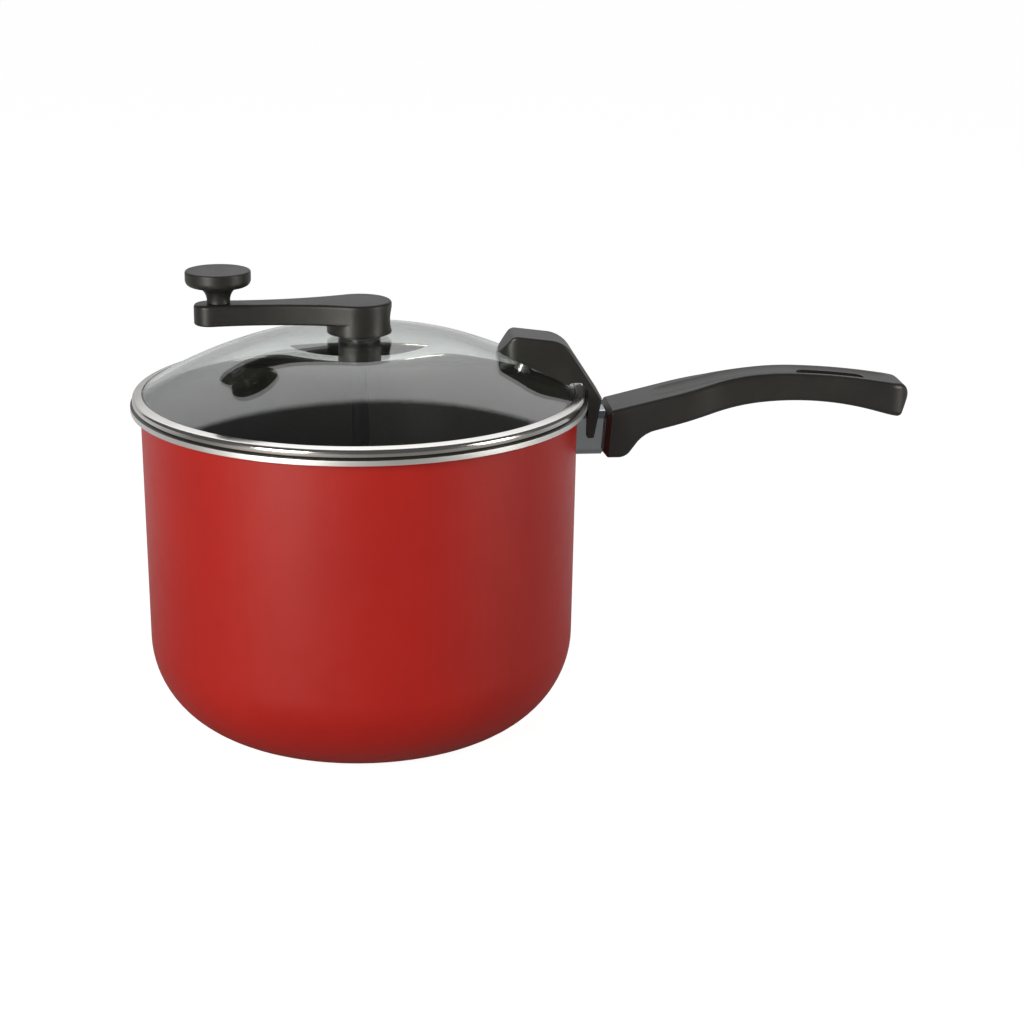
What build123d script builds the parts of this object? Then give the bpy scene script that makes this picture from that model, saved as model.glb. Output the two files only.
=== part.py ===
from build123d import *
from math import asin, cos, degrees, radians, sin, sqrt, tan
import os

os.makedirs("parts", exist_ok=True)

# A stovetop popcorn popper: a pressed pot with a long handle, a glass lid with a steel band, and a
# crank on the lid that turns a stirrer on the pot's floor. Millimetres and degrees. The origin is
# the centre of the pot's base, +Z is up, and the long handle points along +X.

# ---------------------------------------------------------------------------------------------
# Driving sizes
# ---------------------------------------------------------------------------------------------
fit_gap = 0.05             # a shaft in its bore, a screw in its thread
rest_gap = 0.3             # between pieces that move past or rest on each other
cut_room = 5.0             # how far a blank reaches past the surface that trims it

# Pot
mouth_diameter = 200.0     # inside the wall, at the top
pot_wall = 1.8             # sheet thickness, the same in the base
rim_height = 154.4         # base to the underside of the rim's outer edge
wall_draft = 1.6           # how much narrower the wall is at the base, on the radius
base_corner_radius = 44.5
rim_overhang = 4.6         # rim's outer edge past the wall
rim_edge_thickness = 2.7
rim_crown = 4.1            # top of the rim above its underside
rim_crown_width = 3.4      # flat top of the rim, before it slopes down to the edge
rim_turn = 1.6             # where the wall turns out into the rim
rim_edge_round = 0.25
rim_slope_round = 3.0
rim_mouth_round = 2.6

# Lid glass: a flat crown, a soft shoulder and a long flank
glass_thickness = 3.5
glass_overlap = 1.6        # glass edge past the pot's mouth radius
glass_edge_rise = 2.9      # glass's upper edge above the rim's crown
crown_radius = 35.0        # where the crown meets the shoulder
crown_angle = 3.2
shoulder_bend = 90.0
shoulder_angle = 19.7
edge_angle = 30.7
glass_edge_round = 1.5     # ground round on the glass's lower edge
glass_hole_gap = 0.4       # hub's sleeve to the glass

# Lid band: rolled steel on the glass edge, with a skirt that centres the lid
band_bead = 5.5            # band's outer edge past the pot's mouth radius
band_lip_start = 1.0       # inner edge of the lip on the glass, past the mouth radius
band_lip_rise = 0.4        # lip above the glass
band_lip_round = 0.2
band_top_drop = 0.3        # bead's top below the glass's upper edge
band_top_edge = 1.8
band_low_edge = 0.4
band_inner_bend = 1.5      # where the skirt turns out under the glass
band_skin = 0.6
skirt_gap = 0.7            # skirt to the pot's wall
skirt_depth = 5.0

# Hub in the glass, which carries the crank shaft
shaft_diameter = 8.4
hub_diameter = 19.6
sleeve_diameter = 12.0
hub_flange = 1.1
hub_gasket = 0.5
gasket_inset = 0.2
hub_nut_height = 7.2
hub_nut_recess = 2.9
hub_nut_recess_diameter = 15.2
hub_nut_edge = 0.5
retainer_thickness = 0.8   # washer and spring clip, each
shaft_washer_gap = 0.4     # washer's edge to the recess

# Crank
crank_angle = 183.0        # where the arm stands, round from the handle
crank_reach = 64.5         # shaft to knob
arm_end_reach = 75.9       # shaft to the arm's far end
arm_tip_width = 15.0
arm_side_bend = 130.0      # hollow of the arm's waisted sides
boss_diameter = 30.2
boss_drop = 5.3            # boss below the arm's underside
boss_low_edge = 0.6
arm_thickness = 9.8
arm_edge_radius = 1.5
arm_low_edge = 1.0
boss_scallop_depth = 1.4
boss_scallop_radius = 13.6
boss_scallop_rise = 6.6     # scallop's middle above the boss's underside
shaft_socket_roof = 4.5
grub_diameter = 4.0
grub_length = 8.0
grub_socket = 2.2
groove_depth = 0.9
shaft_clip_inset = 1.0     # spring clip's edge to the recess
shaft_clip_opening = 5.0

# Knob
knob_diameter = 30.1
knob_height = 15.0
knob_neck_diameter = 10.7
knob_disc_thickness = 7.2
knob_neck_bend = 7.2
knob_dish = 0.7
knob_screw_diameter = 5.0
knob_screw_head_diameter = 9.0
knob_screw_head = 2.2
knob_screw_depth = 9.0     # into the knob
knob_washer_thickness = 0.6
knob_neck_start = 1.0      # straight foot of the knob
knob_low_edge = 3.0
knob_top_edge = 0.9
knob_dish_inset = 2.0      # flat rim round the dish
knob_recess_depth = 3.6
knob_recess_gap = 0.4

# Stirrer
stirrer_wire_diameter = 4.0
stirrer_clearance = 1.5    # wire to the pot's floor and corner
stirrer_sweep = 50.0       # how far the wire follows the corner
stirrer_hub_diameter = 18.0
stirrer_hub_height = 14.0
stirrer_hub_lift = 1.2     # hub above the pot's floor
stirrer_angle = 90.0       # wires, round from the arm
stirrer_grub_diameter = 3.0
stirrer_grub_length = 4.0
stirrer_hub_edge = 0.8
wire_seat = 5.0            # inner end of each wire, from the axis
shaft_seat = 1.0           # web of the hub between the wires and the shaft's end
wire_end_round = 1.4

# Flame guard, stud and handle
guard_width = 16.0
guard_height = 21.5
guard_corner = 3.5
guard_skin = 0.8
guard_drop = 3.55          # guard's top below the rim's underside
collar_gap = 12.3          # pot wall to the grip's end, on the screw's line
collar_lean = 4.3          # grip's end face, off upright
grip_bevel = 2.4
grip_hollow_depth = 1.4
grip_hollow_radius = 22.0
grip_hollow_start = 30.0   # from the collar face, along the top
grip_hollow_end = 134.0
hang_slot_start = 93.0     # from the collar face
hang_slot_length = 33.0
hang_slot_width = 7.0
spigot_depth = 4.0
spigot_gap = 0.15
stud_gap = 1.0             # stud to the spigot
screw_clearance = 0.3
screw_recess_length = 11.0
screw_drop = 17.4          # handle screw below the rim's underside
screw_head_edge = 0.8
driver_slot_length = 4.6
driver_slot_width = 1.1
driver_slot_depth = 1.3
handle_screw_diameter = 5.0
handle_screw_head_diameter = 8.4
handle_screw_head = 3.2
handle_stud_diameter = 10.0
handle_washer_thickness = 1.0
screw_seat = 9.0           # collar face to the washer's seat
thread_length = 6.0

# Side view of the grip: distance from the collar face, height above the rim's underside, and the
# radius of the corner there. Plan of the grip: distance, half width, radius.
grip_side = [
    ((0.0, -2.3), None),
    ((72.1, 14.7), 146.0),
    ((112.5, 12.8), 350.0),
    ((148.4, 7.1), 6.0),
    ((142.4, -8.4), 2.5),
    ((91.5, 5.5), 145.0),
    ((18.5, -13.4), 16.0),
    ((10.2, -24.8), 7.0),
    ((0.0, -24.8), None),
]
grip_plan = [((0.0, 14.6), None), ((40.0, 15.2), 60.0), ((62.0, 9.4), 90.0), ((148.0, 12.3), 11.5)]
grip_top_edge = 1.2
grip_low_edge = 2.4
grip_blank = 60.0          # the grip's blank, above and below the rim's underside

# Lid clip: its side view from the pot's mouth radius and the rim's underside, with corner radii
clip_side = [
    ((-40.0, 19.4), None),
    ((-28.8, 33.6), 4.0),
    ((-4.8, 30.6), 15.0),
    ((12.9, 3.4), 2.0),
    ((9.4, -15.9), 0.6),
    ((-1.0, -15.9), None),
]
clip_width = 22.0
clip_nose_reach = 35.8     # nose from the mouth radius, towards the hub
clip_nose_radius = 10.0
clip_wall = 2.6
clip_edge_radius = 1.2
clip_glass_gap = 0.4
clip_notch_inset = 2.4     # notch over the band, inwards from the mouth radius
clip_notch_height = 11.1   # above the rim's underside
clip_notch_fall = 3.5      # slope of the notch's roof, outside the rim's flat top
clip_notch_round = 2.0
clip_notch_spare = 0.1     # beyond the rest gap, outside the rim
clip_screw_inset = 22.0    # clip screw, inwards from the mouth radius
clip_boss_diameter = 9.0
clip_boss_height = 11.0
clip_pocket_start = 28.0   # core pocket, inwards from the mouth radius
clip_pocket_end = 5.5
clip_screw_diameter = 3.8
clip_hole_clearance = 0.6
washer_seat = 0.1          # a flat washer stands this far off the curved glass
clip_reach = 40.0          # more than the clip's height, either side of the rim
fork_gap = 0.4             # fork to the flame guard
clip_screw_head_diameter = 7.6
clip_screw_head = 2.2
clip_screw_bite = 4.5
clip_hole_spare = 1.0      # hole in the boss past the screw's end
clip_pad_thickness = 0.8
clip_washer_thickness = 0.8

# ---------------------------------------------------------------------------------------------
# Worked out from the driving sizes
# ---------------------------------------------------------------------------------------------
mouth_radius = mouth_diameter / 2
wall_radius = mouth_radius + pot_wall
rim_radius = wall_radius + rim_overhang
crown_height = rim_height + rim_crown

crown_bend = crown_radius / sin(radians(crown_angle))
shoulder_radius = crown_radius + shoulder_bend * (sin(radians(shoulder_angle)) - sin(radians(crown_angle)))
glass_radius = mouth_radius + glass_overlap
glass_edge_height = crown_height + glass_edge_rise
flank_bend = (glass_radius - shoulder_radius) / (sin(radians(edge_angle)) - sin(radians(shoulder_angle)))
dome_rise = (
    crown_bend * (1 - cos(radians(crown_angle)))
    + shoulder_bend * (cos(radians(crown_angle)) - cos(radians(shoulder_angle)))
    + flank_bend * (cos(radians(shoulder_angle)) - cos(radians(edge_angle)))
)
apex_height = glass_edge_height + dome_rise

sleeve_radius = sleeve_diameter / 2
shaft_radius = shaft_diameter / 2
hub_radius = hub_diameter / 2
glass_hole_radius = sleeve_radius + glass_hole_gap
glass_underside = apex_height - glass_thickness
flange_bottom = apex_height + hub_gasket
flange_top = flange_bottom + hub_flange
gasket_sag = hub_radius**2 / (2 * crown_bend)    # the glass falls this far from flat at the nut's edge
nut_top = glass_underside - gasket_sag - fit_gap - hub_gasket
nut_bottom = nut_top - hub_nut_height
recess_roof = nut_bottom + hub_nut_recess
washer_top = recess_roof - rest_gap
spring_clip_top = washer_top - retainer_thickness

boss_bottom = flange_top + rest_gap
arm_bottom = boss_bottom + boss_drop
arm_top = arm_bottom + arm_thickness
boss_radius = boss_diameter / 2
shaft_top = arm_top - shaft_socket_roof
knob_bottom = arm_top + rest_gap
knob_x = crank_reach * cos(radians(crank_angle))
knob_y = crank_reach * sin(radians(crank_angle))

floor_height = pot_wall
wire_radius = stirrer_wire_diameter / 2
wire_height = floor_height + stirrer_clearance + wire_radius
corner_centre_height = base_corner_radius
corner_centre_radius = wall_radius - wall_draft * (1 - base_corner_radius / rim_height) - base_corner_radius
wire_bend = corner_centre_height - wire_height
stirrer_hub_bottom = floor_height + stirrer_hub_lift
stirrer_hub_top = stirrer_hub_bottom + stirrer_hub_height
shaft_bottom = wire_height + wire_radius + shaft_seat
stirrer_grub_height = (shaft_bottom + stirrer_hub_top) / 2

screw_height = rim_height - screw_drop
collar_face = wall_radius + collar_gap
guard_middle = rim_height - guard_drop - guard_height / 2
seat_face = collar_face + screw_seat

# ---------------------------------------------------------------------------------------------
# Frames and shared shapes
# ---------------------------------------------------------------------------------------------
crank_plane = Plane(
    origin=(0, 0, 0), x_dir=(cos(radians(crank_angle)), sin(radians(crank_angle)), 0), z_dir=(0, 0, 1)
)
knob_plane = Plane(origin=(knob_x, knob_y, 0), x_dir=(1, 0, 0), z_dir=(0, -1, 0))
knob_axis = Axis((knob_x, knob_y, 0), (0, 0, 1))
stirrer_plane = Plane(crank_plane.location * Location((0, 0, 0), (0, 0, stirrer_angle)))
collar_plane = Plane(
    origin=(collar_face, 0, screw_height),
    x_dir=(0, 1, 0),
    z_dir=(cos(radians(collar_lean)), 0, -sin(radians(collar_lean))),
)


def dome_height(radius):
    """Height of the glass's upper face on its flank."""
    start = sin(radians(shoulder_angle))
    angle = asin(start + (radius - shoulder_radius) / flank_bend)
    return glass_edge_height + flank_bend * (cos(angle) - cos(radians(edge_angle)))


def dome_slope(radius):
    """Slope of the glass on its flank, in degrees."""
    return degrees(asin(sin(radians(shoulder_angle)) + (radius - shoulder_radius) / flank_bend))


def dome_curve(grow):
    """The glass's upper face in section, moved out along its normal by grow, inside a BuildLine."""
    crown = JernArc(
        start=(0, apex_height + grow), tangent=(1, 0), radius=crown_bend + grow, arc_size=-crown_angle
    )
    shoulder = JernArc(
        start=crown @ 1,
        tangent=crown % 1,
        radius=shoulder_bend + grow,
        arc_size=crown_angle - shoulder_angle,
    )
    flank = JernArc(
        start=shoulder @ 1,
        tangent=shoulder % 1,
        radius=flank_bend + grow,
        arc_size=shoulder_angle - edge_angle,
    )
    return crown, shoulder, flank


# The pot's outline, filled in: what the handle parts are cut back to
with BuildPart() as pot_outside:
    with BuildSketch(Plane.XZ):
        with BuildLine():
            FilletPolyline(
                (0, 0), (wall_radius - wall_draft, 0), (wall_radius, rim_height), radius=base_corner_radius
            )
            Polyline((wall_radius, rim_height), (0, rim_height), (0, 0))
        make_face()
    revolve(axis=Axis.Z)

# The space that the lid's band and the pot's rim need inside the clip's notch
with BuildPart() as band_room:
    with BuildSketch(Plane.XZ):
        notch_top = rim_height + clip_notch_height
        notch_inside = mouth_radius - clip_notch_inset
        notch_outside = rim_radius + rest_gap + clip_notch_spare
        with BuildLine():
            FilletPolyline(
                (notch_inside, 0),
                (notch_inside, notch_top),
                (mouth_radius + rim_crown_width, notch_top),
                (notch_outside, notch_top - clip_notch_fall),
                (notch_outside, 0),
                radius=clip_notch_round,
            )
            Line((notch_outside, 0), (notch_inside, 0))
        make_face()
    revolve(axis=Axis.Z)

# Everything up to a small gap above the glass: what the clip is cut back to
with BuildPart() as glass_room:
    with BuildSketch(Plane.XZ):
        with BuildLine():
            top = dome_curve(clip_glass_gap)
            Polyline(top[2] @ 1, (glass_radius, 0), (0, 0), top[0] @ 0)
        make_face()
    revolve(axis=Axis.Z)

# ---------------------------------------------------------------------------------------------
# Pot body
# ---------------------------------------------------------------------------------------------
# Pressed aluminium pot with a rolled rim, red enamel outside and a dark non-stick lining
with BuildPart() as pot_shell:
    with BuildSketch(Plane.XZ):
        with BuildLine():
            FilletPolyline(
                (0, 0),
                (wall_radius - wall_draft, 0),
                (wall_radius, rim_height + rim_turn),
                (rim_radius, rim_height),
                (rim_radius, rim_height + rim_edge_thickness),
                (mouth_radius + rim_crown_width, crown_height),
                (mouth_radius, crown_height),
                (mouth_radius - wall_draft, floor_height),
                (0, floor_height),
                radius=[
                    base_corner_radius,
                    rim_turn,
                    rim_edge_round,
                    rim_edge_round,
                    rim_slope_round,
                    rim_mouth_round,
                    base_corner_radius - pot_wall,
                ],
            )
            Line((0, floor_height), (0, 0))
        make_face()
    revolve(axis=Axis.Z)
pot_shell.part.label = "pot_shell"

# Threaded stud, welded to the wall; the handle screw pulls the grip and the guard against it
with BuildPart() as handle_stud:
    with BuildSketch(Plane.YZ.offset(mouth_radius - cut_room)):
        with Locations((0, screw_height)):
            Circle(handle_stud_diameter / 2)
            Circle(handle_screw_diameter / 2 + fit_gap, mode=Mode.SUBTRACT)
    extrude(amount=cut_room + pot_wall + collar_gap - spigot_depth - stud_gap)
    add(pot_outside.part, mode=Mode.SUBTRACT)
handle_stud.part.label = "handle_stud"

# Polished steel guard between the hot wall and the grip: a flattened tube cut to both
with BuildPart() as flame_guard:
    with BuildSketch(Plane.YZ.offset(mouth_radius - cut_room)):
        with Locations((0, guard_middle)):
            RectangleRounded(guard_width, guard_height, guard_corner)
            RectangleRounded(
                guard_width - 2 * guard_skin,
                guard_height - 2 * guard_skin,
                guard_corner - guard_skin,
                mode=Mode.SUBTRACT,
            )
    extrude(amount=cut_room + pot_wall + collar_gap + cut_room)
    add(pot_outside.part, mode=Mode.SUBTRACT)
    split(bisect_by=collar_plane, keep=Keep.BOTTOM)
flame_guard.part.label = "flame_guard"

# Moulded bakelite grip: deep collar, arched neck with a thumb hollow, hanging slot
lean = tan(radians(collar_lean))


def on_face(height):
    """Where the leaning collar face stands at a height above the rim's underside."""
    return (collar_face + (height + screw_drop) * lean, rim_height + height)


grip_points = [on_face(grip_side[0][0][1])]
grip_points += [(collar_face + spot[0], rim_height + spot[1]) for spot, bend in grip_side[1:-1]]
grip_points += [on_face(grip_side[-1][0][1])]
grip_bends = [bend for spot, bend in grip_side[1:-1]]
half_plan = [(collar_face + spot[0], spot[1]) for spot, bend in grip_plan]
half_bends = [bend for spot, bend in grip_plan[1:]]

# The thumb hollow is the path of a ball along the grip's top
with BuildPart() as thumb_hollow:
    with BuildLine(Plane.XZ):
        grip_top = FilletPolyline(*grip_points[:4], radius=grip_bends[:2])
    hollow_run = grip_top.trim(grip_hollow_start / grip_top.length, grip_hollow_end / grip_top.length)
    ball_centres = []
    for end in (0, 1):
        end_plane = Plane(origin=hollow_run @ end, x_dir=(0, 1, 0), z_dir=hollow_run % end)
        ball_centres.append(end_plane.from_local_coords((0, grip_hollow_radius - grip_hollow_depth)))
        if end == 0:
            with BuildSketch(end_plane):
                with Locations((0, grip_hollow_radius - grip_hollow_depth)):
                    Circle(grip_hollow_radius)
    sweep(path=hollow_run)
    with Locations(*ball_centres):
        Sphere(grip_hollow_radius)

with BuildPart() as handle_grip:
    with BuildSketch(Plane.XZ):
        with BuildLine():
            FilletPolyline(*grip_points, radius=grip_bends)
            Line(grip_points[-1], grip_points[0])
        make_face()
    extrude(amount=guard_width * 2, both=True)
    with BuildSketch(Plane.XY.offset(rim_height - grip_blank)):
        with BuildLine():
            plan_start = (collar_face - cut_room, half_plan[0][1])
            plan_side = half_plan[1:] + [(x, -y) for x, y in reversed(half_plan[1:])]
            outline = FilletPolyline(
                plan_start,
                *plan_side,
                (plan_start[0], -plan_start[1]),
                radius=half_bends + half_bends[::-1],
            )
            Line(outline @ 1, outline @ 0)
        make_face()
    extrude(amount=grip_blank * 2, mode=Mode.INTERSECT)
    chamfer(handle_grip.faces().sort_by(Axis.X)[0].edges(), length=grip_bevel)
    for edge_radius, facing in ((grip_low_edge, -1), (grip_top_edge, 1)):
        level_faces = handle_grip.faces().filter_by(lambda face: face.normal_at().Z * facing > 0.5)
        side_edges = handle_grip.faces().filter_by(lambda face: abs(face.normal_at().Z) < 0.3).edges()
        long_edges = [
            edge for edge in level_faces.edges() if edge in side_edges and edge.center().X > collar_face + 2
        ]
        fillet(long_edges, radius=edge_radius)
    add(thumb_hollow.part, mode=Mode.SUBTRACT)
    with BuildSketch(Plane.XY.offset(rim_height - grip_blank)):
        with Locations((collar_face + hang_slot_start + hang_slot_length / 2, 0)):
            SlotOverall(hang_slot_length, hang_slot_width)
    extrude(amount=grip_blank * 2, mode=Mode.SUBTRACT)
    with BuildSketch(Plane.YZ.offset(collar_face - spigot_depth)):
        with Locations((0, guard_middle)):
            RectangleRounded(
                guard_width - 2 * (guard_skin + spigot_gap),
                guard_height - 2 * (guard_skin + spigot_gap),
                guard_corner - guard_skin - spigot_gap,
            )
    extrude(amount=spigot_depth + grip_bevel)
    with BuildSketch(Plane.YZ.offset(collar_face - spigot_depth)):
        with Locations((0, screw_height)):
            Circle(handle_screw_diameter / 2 + screw_clearance)
    extrude(amount=spigot_depth + screw_seat, mode=Mode.SUBTRACT)
    with BuildSketch(Plane.YZ.offset(seat_face)):
        with Locations((0, screw_height)):
            Circle(handle_screw_head_diameter / 2 + screw_clearance)
    extrude(amount=screw_recess_length, mode=Mode.SUBTRACT)
handle_grip.part.label = "handle_grip"

# Plain washer under the screw's head
with BuildPart() as handle_washer:
    with BuildSketch(Plane.YZ.offset(seat_face)):
        with Locations((0, screw_height)):
            Circle(handle_screw_head_diameter / 2)
            Circle(handle_screw_diameter / 2 + screw_clearance, mode=Mode.SUBTRACT)
    extrude(amount=handle_washer_thickness)
handle_washer.part.label = "handle_washer"

# Steel screw from the back of the collar, through the grip, into the stud
stud_end = collar_face - spigot_depth - stud_gap
head_face = seat_face + handle_washer_thickness
with BuildPart() as handle_screw:
    with BuildSketch(Plane.YZ.offset(stud_end - thread_length)):
        with Locations((0, screw_height)):
            Circle(handle_screw_diameter / 2)
    extrude(amount=head_face - stud_end + thread_length)
    with BuildSketch(Plane.YZ.offset(head_face)):
        with Locations((0, screw_height)):
            Circle(handle_screw_head_diameter / 2)
    extrude(amount=handle_screw_head)
    fillet(handle_screw.edges().sort_by(Axis.X)[-1], radius=screw_head_edge)
    with BuildSketch(Plane.YZ.offset(head_face + handle_screw_head)):
        with Locations((0, screw_height)):
            Rectangle(driver_slot_length, driver_slot_width)
            Rectangle(driver_slot_width, driver_slot_length)
    extrude(amount=-driver_slot_depth, mode=Mode.SUBTRACT)
handle_screw.part.label = "handle_screw"

# ---------------------------------------------------------------------------------------------
# Lid body
# ---------------------------------------------------------------------------------------------
clip_screw_radius = mouth_radius - clip_screw_inset
clip_screw_slope = radians(dome_slope(clip_screw_radius))
clip_screw_plane = Plane(
    origin=(clip_screw_radius, 0, dome_height(clip_screw_radius)),
    x_dir=(0, 1, 0),
    z_dir=(sin(clip_screw_slope), 0, cos(clip_screw_slope)),
)

# Toughened glass dome, drilled for the hub and for the clip's screw
with BuildPart() as lid_glass:
    with BuildSketch(Plane.XZ):
        with BuildLine():
            upper = dome_curve(0)
            under = dome_curve(-glass_thickness)
            Line(upper[2] @ 1, under[2] @ 1)
            Line(under[0] @ 0, upper[0] @ 0)
        make_face()
    revolve(axis=Axis.Z)
    fillet(lid_glass.edges().sort_by(Axis.Z)[0], radius=glass_edge_round)
    with BuildSketch(Plane.XY.offset(glass_underside - glass_thickness)):
        Circle(glass_hole_radius)
    extrude(amount=glass_thickness * 3, mode=Mode.SUBTRACT)
    with BuildSketch(clip_screw_plane.offset(-glass_thickness * 2)):
        Circle(clip_screw_diameter / 2 + clip_hole_clearance)
    extrude(amount=glass_thickness * 3, mode=Mode.SUBTRACT)
lid_glass.part.label = "lid_glass"

# The groove that the glass's edge fills in the band
with BuildPart() as glass_groove:
    with BuildSketch(Plane.XZ):
        with BuildLine():
            upper = dome_curve(fit_gap)
            under = dome_curve(-glass_thickness - fit_gap)
            upper_end = upper[2] @ 1 + (upper[2] % 1) * fit_gap
            under_end = under[2] @ 1 + (under[2] % 1) * fit_gap
            Polyline(upper[2] @ 1, upper_end, under_end, under[2] @ 1)
            Line(under[0] @ 0, upper[0] @ 0)
        make_face()
    revolve(axis=Axis.Z)
    fillet(glass_groove.edges().sort_by(Axis.Z)[0], radius=glass_edge_round + fit_gap)

# Rolled stainless band: crimped round the glass's edge, its flat rests on the pot's rim, its bead
# hangs over the rim's slope and its skirt centres the lid in the mouth
with BuildPart() as lid_band:
    lip_radius = mouth_radius + band_lip_start
    bead_radius = mouth_radius + band_bead
    slope_radius = mouth_radius + rim_crown_width
    skirt_radius = mouth_radius - skirt_gap
    skirt_bottom = crown_height - skirt_depth
    band_bottom = crown_height + rest_gap
    rim_fall = (rim_crown - rim_edge_thickness) / (rim_radius - slope_radius)
    bead_bottom = band_bottom - rim_fall * (bead_radius - slope_radius)
    inside_glass = glass_edge_height - glass_thickness / 4
    with BuildSketch(Plane.XZ):
        with BuildLine():
            FilletPolyline(
                (skirt_radius - band_skin, inside_glass),
                (skirt_radius - band_skin, skirt_bottom),
                (skirt_radius, skirt_bottom),
                (skirt_radius, band_bottom),
                (slope_radius, band_bottom),
                (bead_radius, bead_bottom),
                (bead_radius, glass_edge_height - band_top_drop),
                (lip_radius, dome_height(lip_radius) + band_lip_rise),
                (lip_radius, inside_glass),
                radius=[
                    band_lip_round,
                    band_lip_round,
                    band_inner_bend,
                    rim_slope_round,
                    band_low_edge,
                    band_top_edge,
                    band_lip_round,
                ],
            )
            Line((lip_radius, inside_glass), (skirt_radius - band_skin, inside_glass))
        make_face()
    revolve(axis=Axis.Z)
    add(glass_groove.part, mode=Mode.SUBTRACT)
lid_band.part.label = "lid_band"

# Silicone rings that seal and cushion the hub, above and below the glass
gaskets = []
for ring_name, ring_bottom in (("hub_gasket_top", apex_height), ("hub_gasket_bottom", nut_top)):
    with BuildPart() as hub_ring:
        with BuildSketch(Plane.XY.offset(ring_bottom)):
            Circle(hub_radius - gasket_inset)
            Circle(sleeve_radius + fit_gap, mode=Mode.SUBTRACT)
        extrude(amount=hub_gasket)
    hub_ring.part.label = ring_name
    gaskets.append(hub_ring)

# Flanged bush through the glass: the crank shaft's bearing
with BuildPart() as hub_bush:
    with BuildSketch(Plane.XY.offset(recess_roof)):
        Circle(sleeve_radius)
    extrude(amount=flange_top - recess_roof)
    with BuildSketch(Plane.XY.offset(flange_bottom)):
        Circle(hub_radius)
    extrude(amount=hub_flange)
    with BuildSketch(Plane.XY.offset(recess_roof)):
        Circle(shaft_radius + fit_gap)
    extrude(amount=flange_top - recess_roof, mode=Mode.SUBTRACT)
hub_bush.part.label = "hub_bush"

# Round nut, screwed on the bush under the glass; its recess holds the shaft's washer and clip
with BuildPart() as hub_nut:
    with BuildSketch(Plane.XY.offset(nut_bottom)):
        Circle(hub_radius)
    extrude(amount=hub_nut_height)
    fillet(hub_nut.edges().sort_by(Axis.Z)[0], radius=hub_nut_edge)
    with BuildSketch(Plane.XY.offset(nut_bottom)):
        Circle(hub_nut_recess_diameter / 2)
    extrude(amount=hub_nut_recess, mode=Mode.SUBTRACT)
    with BuildSketch(Plane.XY.offset(recess_roof)):
        Circle(sleeve_radius + fit_gap)
    extrude(amount=hub_nut_height, mode=Mode.SUBTRACT)
hub_nut.part.label = "hub_nut"

# Moulded stop: stands on the glass, reaches over the band and forks round the flame guard, so that
# the lid can't turn with the crank
clip_points = [(mouth_radius + spot[0], rim_height + spot[1]) for spot, bend in clip_side]
clip_bends = [bend for spot, bend in clip_side[1:-1]]
nose_x = mouth_radius - clip_nose_reach
heel_x = mouth_radius + clip_side[3][0][0]
with BuildPart() as lid_clip:
    with BuildSketch(Plane.XZ) as clip_outline:
        with BuildLine():
            FilletPolyline(*clip_points, radius=clip_bends)
            Line(clip_points[-1], clip_points[0])
        make_face()
    extrude(amount=clip_width, both=True)
    with BuildSketch(Plane.XY.offset(rim_height - clip_reach)):
        with BuildLine():
            nose = FilletPolyline(
                (heel_x + clip_wall, clip_width / 2),
                (nose_x, clip_width / 2),
                (nose_x, -clip_width / 2),
                (heel_x + clip_wall, -clip_width / 2),
                radius=clip_nose_radius,
            )
            Line(nose @ 1, nose @ 0)
        make_face()
    extrude(amount=clip_reach * 2, mode=Mode.INTERSECT)
    upper_faces = lid_clip.faces().filter_by(lambda face: face.normal_at().Z > 0.05)
    side_edges = lid_clip.faces().filter_by(lambda face: abs(face.normal_at().Z) < 0.05).edges()
    fillet([edge for edge in upper_faces.edges() if edge in side_edges], radius=clip_edge_radius)
    with BuildSketch(Plane.XZ):
        add(clip_outline.sketch_local)
        offset(amount=-clip_wall, kind=Kind.INTERSECTION, mode=Mode.REPLACE)
        with Locations((mouth_radius - (clip_pocket_start + clip_pocket_end) / 2, rim_height)):
            Rectangle(clip_pocket_start - clip_pocket_end, clip_reach * 2, mode=Mode.INTERSECT)
    extrude(amount=clip_width / 2 - clip_wall, both=True, mode=Mode.SUBTRACT)
    with BuildSketch(clip_screw_plane.offset(clip_pad_thickness)):
        Circle(clip_boss_diameter / 2)
    extrude(amount=clip_boss_height)
    with BuildSketch(clip_screw_plane.offset(clip_pad_thickness)):
        Circle(clip_screw_diameter / 2 + fit_gap)
    extrude(amount=clip_screw_bite + clip_hole_spare, mode=Mode.SUBTRACT)
    add(glass_room.part, mode=Mode.SUBTRACT)
    add(band_room.part, mode=Mode.SUBTRACT)
    with BuildSketch(Plane.XY.offset(rim_height - clip_reach)):
        with Locations((heel_x, 0)):
            Rectangle(2 * (heel_x - rim_radius), guard_width + 2 * fork_gap)
    extrude(amount=clip_reach - guard_drop + fork_gap, mode=Mode.SUBTRACT)
lid_clip.part.label = "lid_clip"

# Silicone pad between the clip's boss and the glass
with BuildPart() as clip_pad:
    with BuildSketch(clip_screw_plane):
        Circle(clip_boss_diameter / 2)
        Circle(clip_screw_diameter / 2 + screw_clearance, mode=Mode.SUBTRACT)
    extrude(amount=clip_pad_thickness)
clip_pad.part.label = "clip_pad"

# Washer and screw that hold the clip, from inside the lid
clip_head_depth = glass_thickness + washer_seat + clip_washer_thickness
with BuildPart() as clip_washer:
    with BuildSketch(clip_screw_plane.offset(-clip_head_depth)):
        Circle(clip_screw_head_diameter / 2)
        Circle(clip_screw_diameter / 2 + screw_clearance, mode=Mode.SUBTRACT)
    extrude(amount=clip_washer_thickness)
clip_washer.part.label = "clip_washer"

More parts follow.
